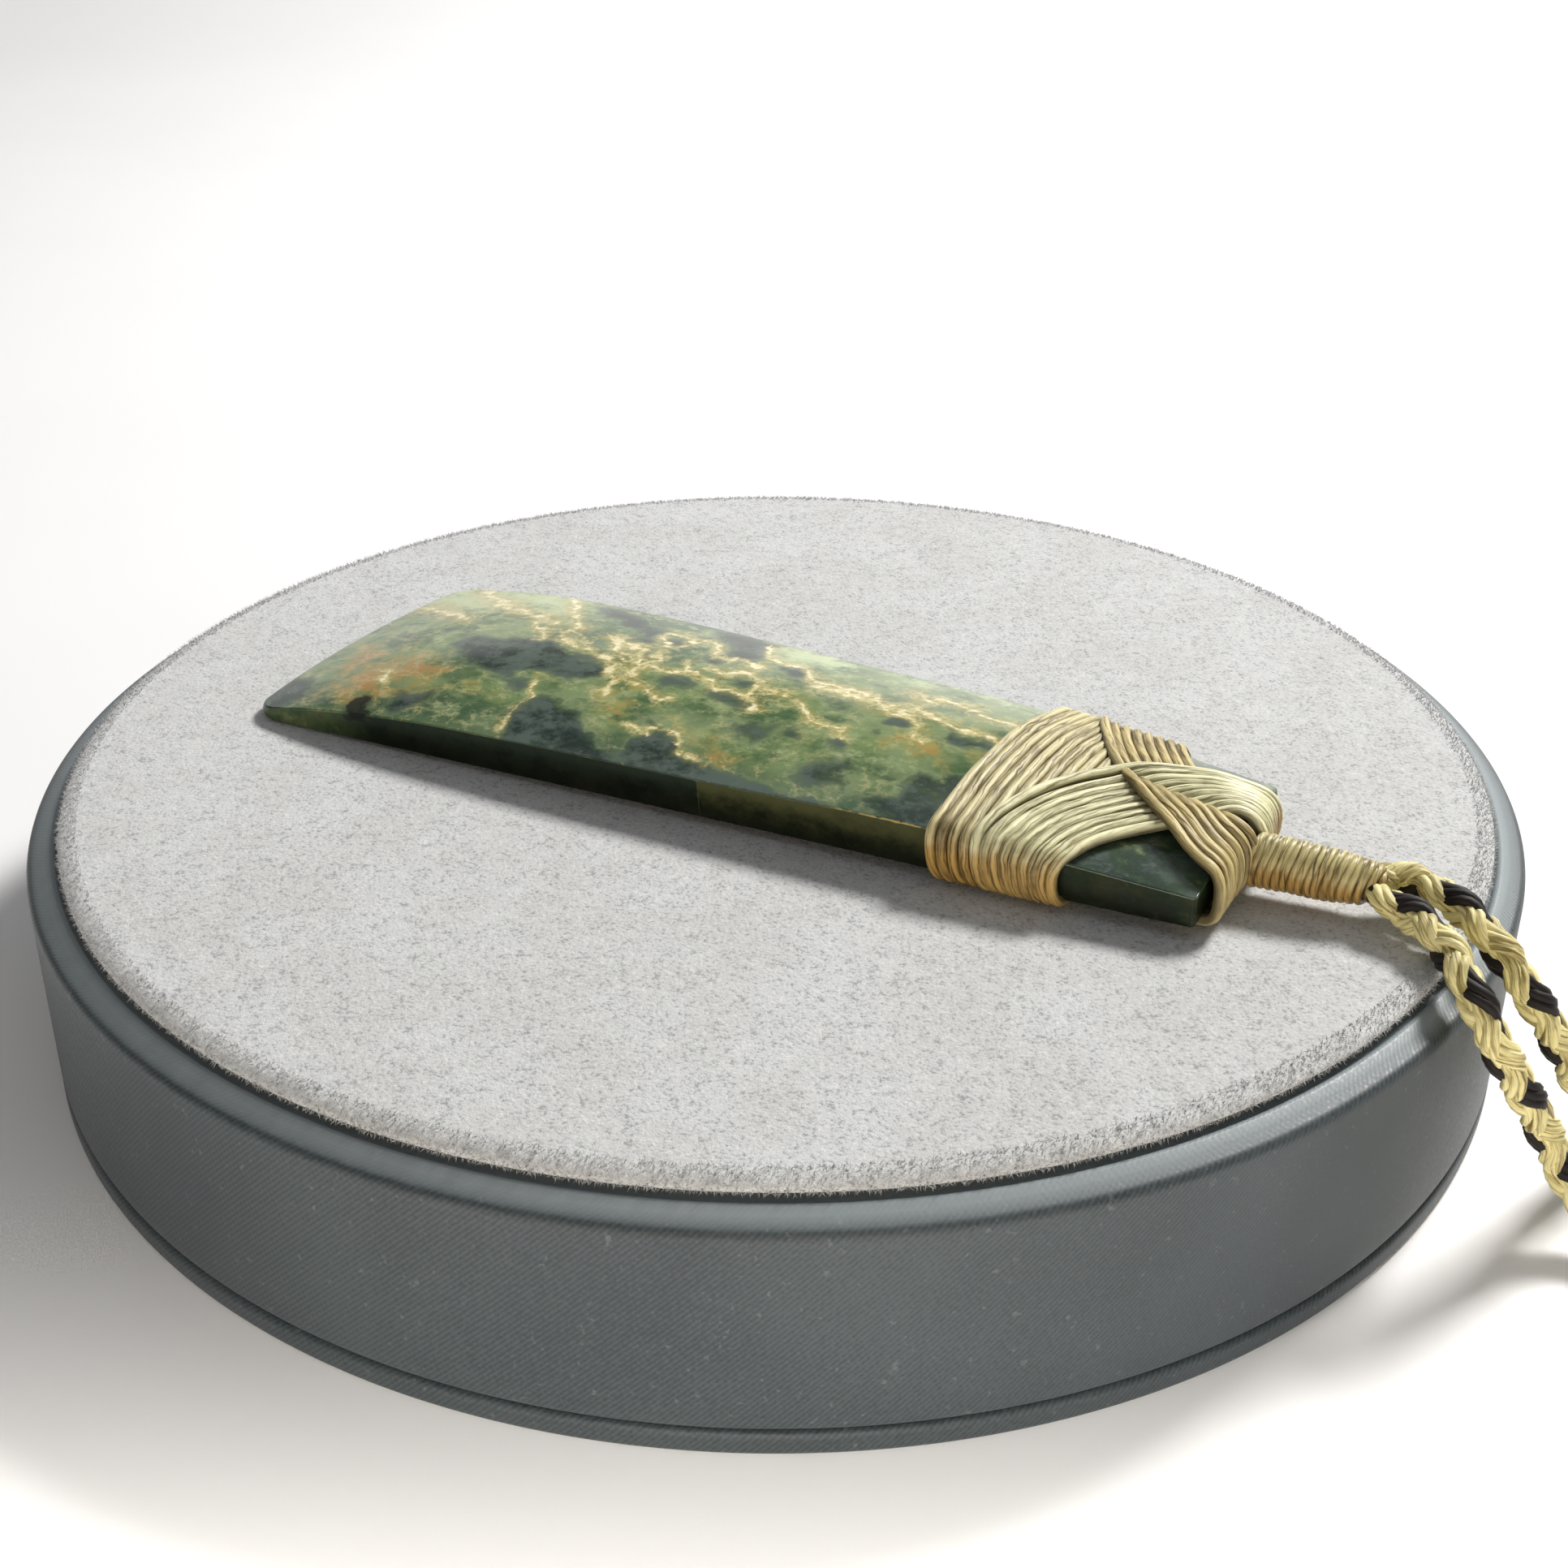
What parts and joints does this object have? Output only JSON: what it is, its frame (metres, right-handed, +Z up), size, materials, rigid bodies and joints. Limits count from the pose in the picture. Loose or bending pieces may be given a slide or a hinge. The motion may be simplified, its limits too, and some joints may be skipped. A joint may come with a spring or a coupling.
{
  "type": "toki adze pendant on a round display stand",
  "caption": "Adze-shaped greenstone pendant lashed with waxed thread to a braided neck cord, lying on a low round suede-topped display stand.",
  "frame": {"origin": "centre of the stand's underside, on the surface that it stands on", "axes": "+Z up, +X to the right and +Y away from the viewer as the pendant is displayed, with the butt and its cords towards +X"},
  "size_m": [0.2616, 0.12, 0.0267],
  "materials": {
    "jade": "polished",
    "waxed_thread": "satin",
    "braided_cord": "matte",
    "clasp_metal": "satin",
    "leatherette": "satin",
    "suede": "matte"
  },
  "bodies": {
    "root": {"stone_blade": "jade", "lashing": "waxed_thread", "neck_whipping": "waxed_thread", "cord_near": "braided_cord", "cord_far": "braided_cord", "cord_clasp": "clasp_metal", "stand_base": "leatherette", "stand_drum": "leatherette", "suede_pad": "suede"}
  },
  "joints": []
}
